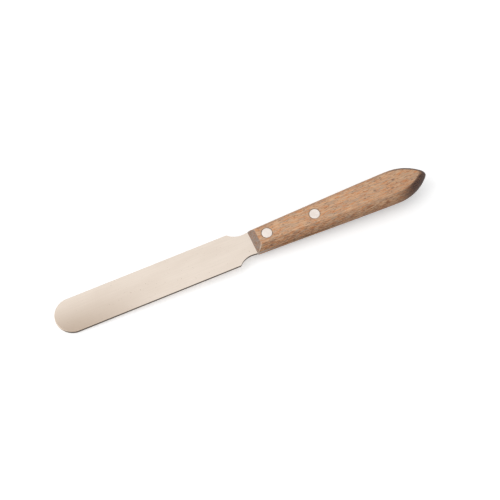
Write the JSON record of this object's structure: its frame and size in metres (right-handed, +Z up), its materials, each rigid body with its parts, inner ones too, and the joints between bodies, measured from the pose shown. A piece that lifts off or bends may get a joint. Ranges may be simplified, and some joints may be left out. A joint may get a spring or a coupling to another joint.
{
  "type": "lab spatula",
  "caption": "Flat lab spatula with a long round-ended steel blade, a narrowed neck and a riveted wooden handle with a pointed end.",
  "frame": {"origin": "midway between the blade's tip and the handle's end, on the surface that the spatula lies on", "axes": "+X from the blade's tip to the handle's end, +Z up, +Y across the blade to complete a right-handed frame"},
  "size_m": [0.2158, 0.02, 0.0149],
  "materials": {
    "blade_steel": "satin polished stainless steel",
    "handle_wood": "beech, sanded and oiled, matte",
    "rivet_steel": "ground flush with the wood, satin"
  },
  "bodies": {
    "root": {"blade": "blade_steel", "handle": "handle_wood", "front_rivet_post": "rivet_steel", "front_rivet_cap": "rivet_steel", "rear_rivet_post": "rivet_steel", "rear_rivet_cap": "rivet_steel"}
  },
  "joints": []
}
